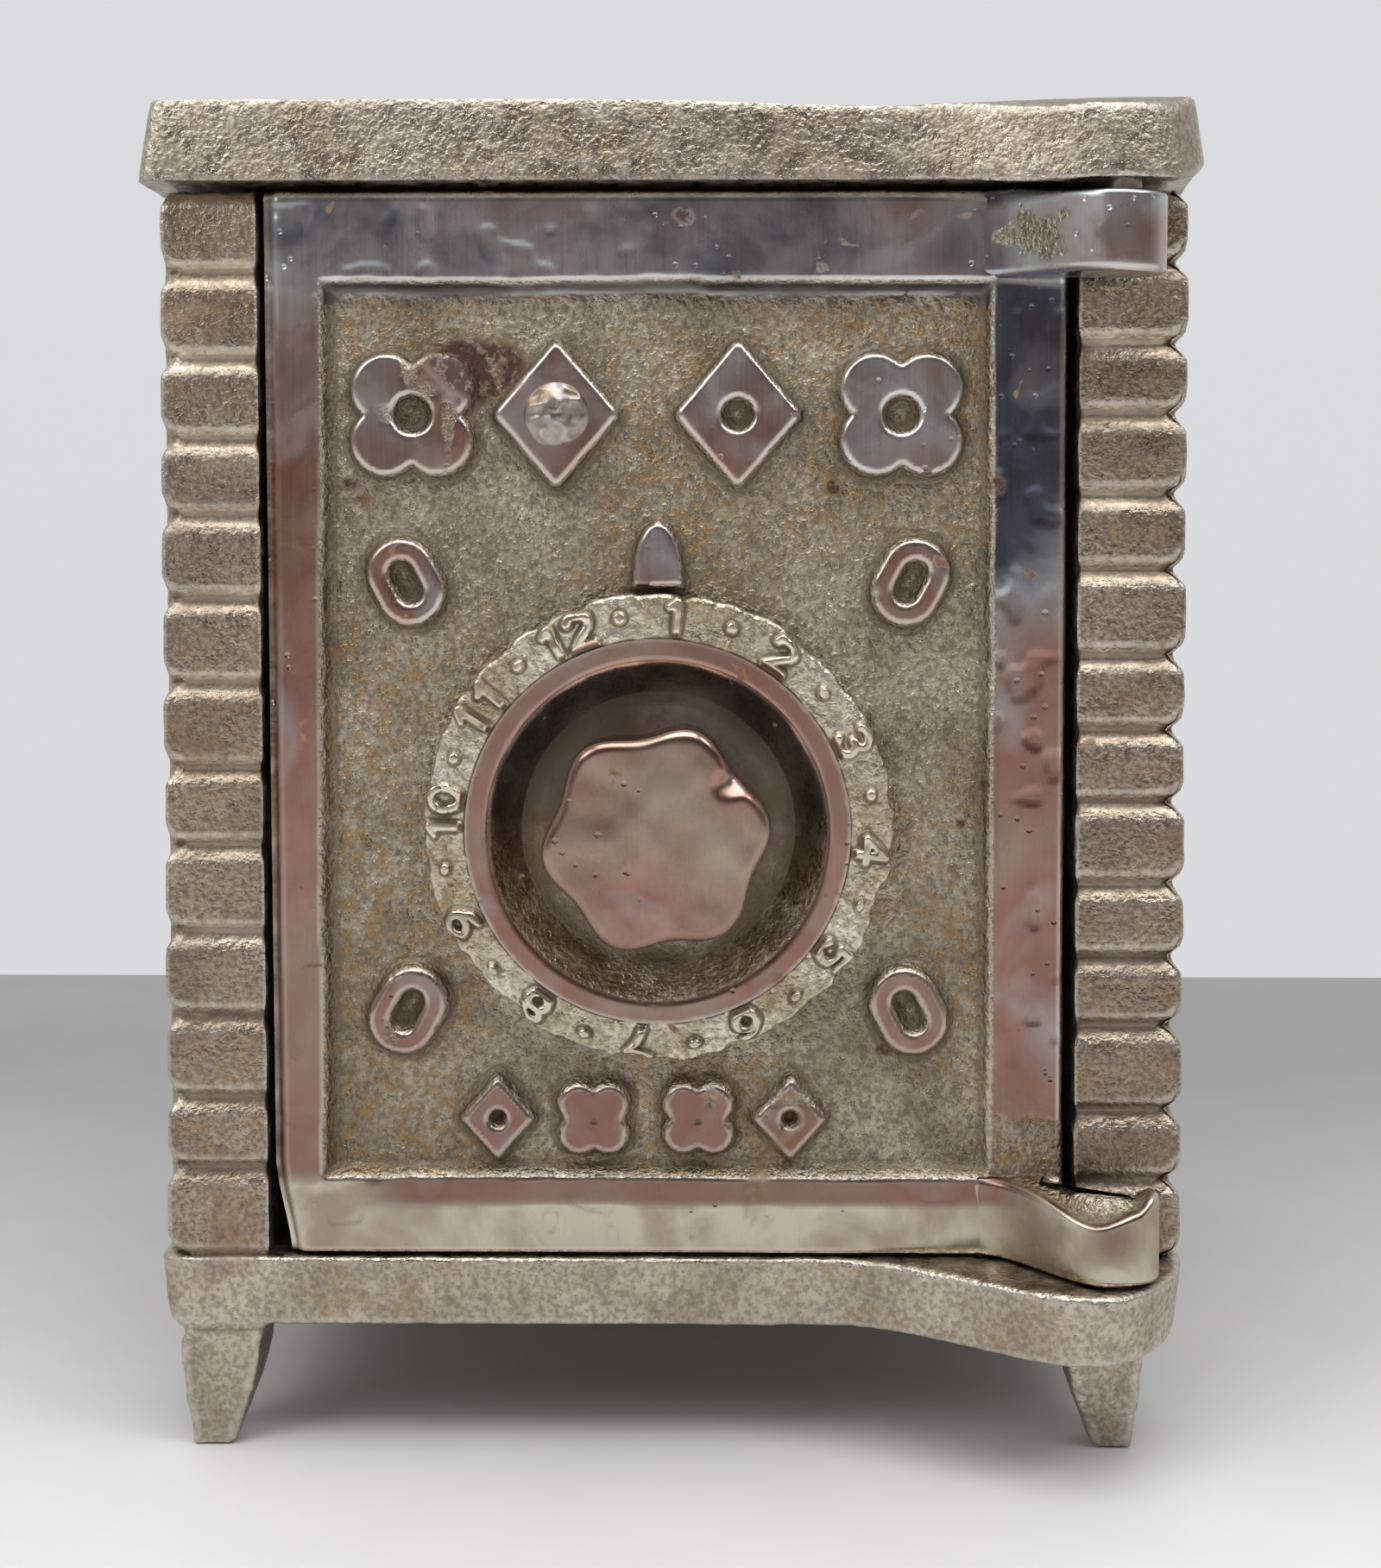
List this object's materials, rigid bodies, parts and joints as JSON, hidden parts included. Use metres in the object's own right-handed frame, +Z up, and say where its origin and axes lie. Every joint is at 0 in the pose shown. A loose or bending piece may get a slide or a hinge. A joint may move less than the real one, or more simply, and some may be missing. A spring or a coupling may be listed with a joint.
{
  "type": "toy safe coin bank",
  "caption": "Footed cast toy safe with a coin slot, a hinged relief door and a turning numbered dial that works a lock disc.",
  "frame": {"origin": "middle of the bank's outer box at the level of its feet", "axes": "+Z up through the coin slot, -Y out of the door, +X towards the hinge side"},
  "size_m": [0.0784, 0.075, 0.1016],
  "materials": {
    "case_casting": "worn nickel plate over rough casting",
    "door_casting": "worn nickel plate, raised faces polished",
    "dial_casting": "worn nickel plate, ring and knob polished",
    "lock_iron": "dark unplated iron, lightly rusted",
    "plain_steel": "aged plain steel",
    "spring_steel": "blued spring steel"
  },
  "bodies": {
    "case": {"base_plate": "case_casting", "top_plate": "case_casting", "left_wall": "case_casting", "right_wall": "case_casting", "back_wall": "case_casting", "tie_screw_left": "plain_steel", "tie_screw_right": "plain_steel"},
    "door": {"door": "door_casting", "upper_hinge_pin": "plain_steel", "lower_hinge_pin": "plain_steel", "door_rivet": "plain_steel", "click_spring": "spring_steel"},
    "dial": {"dial": "dial_casting", "lock_disc": "lock_iron", "dial_washer": "plain_steel", "spindle_nut": "plain_steel"}
  },
  "joints": [
    {"name": "door_swing", "type": "hinge", "parent": "case", "child": "door", "pos_m": [0.0324, -0.0337, 0.055], "axis": [0, 0, 1], "range_deg": [0, 165]},
    {"name": "dial_spin", "type": "hinge", "parent": "door", "child": "dial", "pos_m": [-0.001, -0.025, 0.0472], "axis": [0, 1, 0], "continuous": true, "deforming": ["click_spring"]}
  ]
}
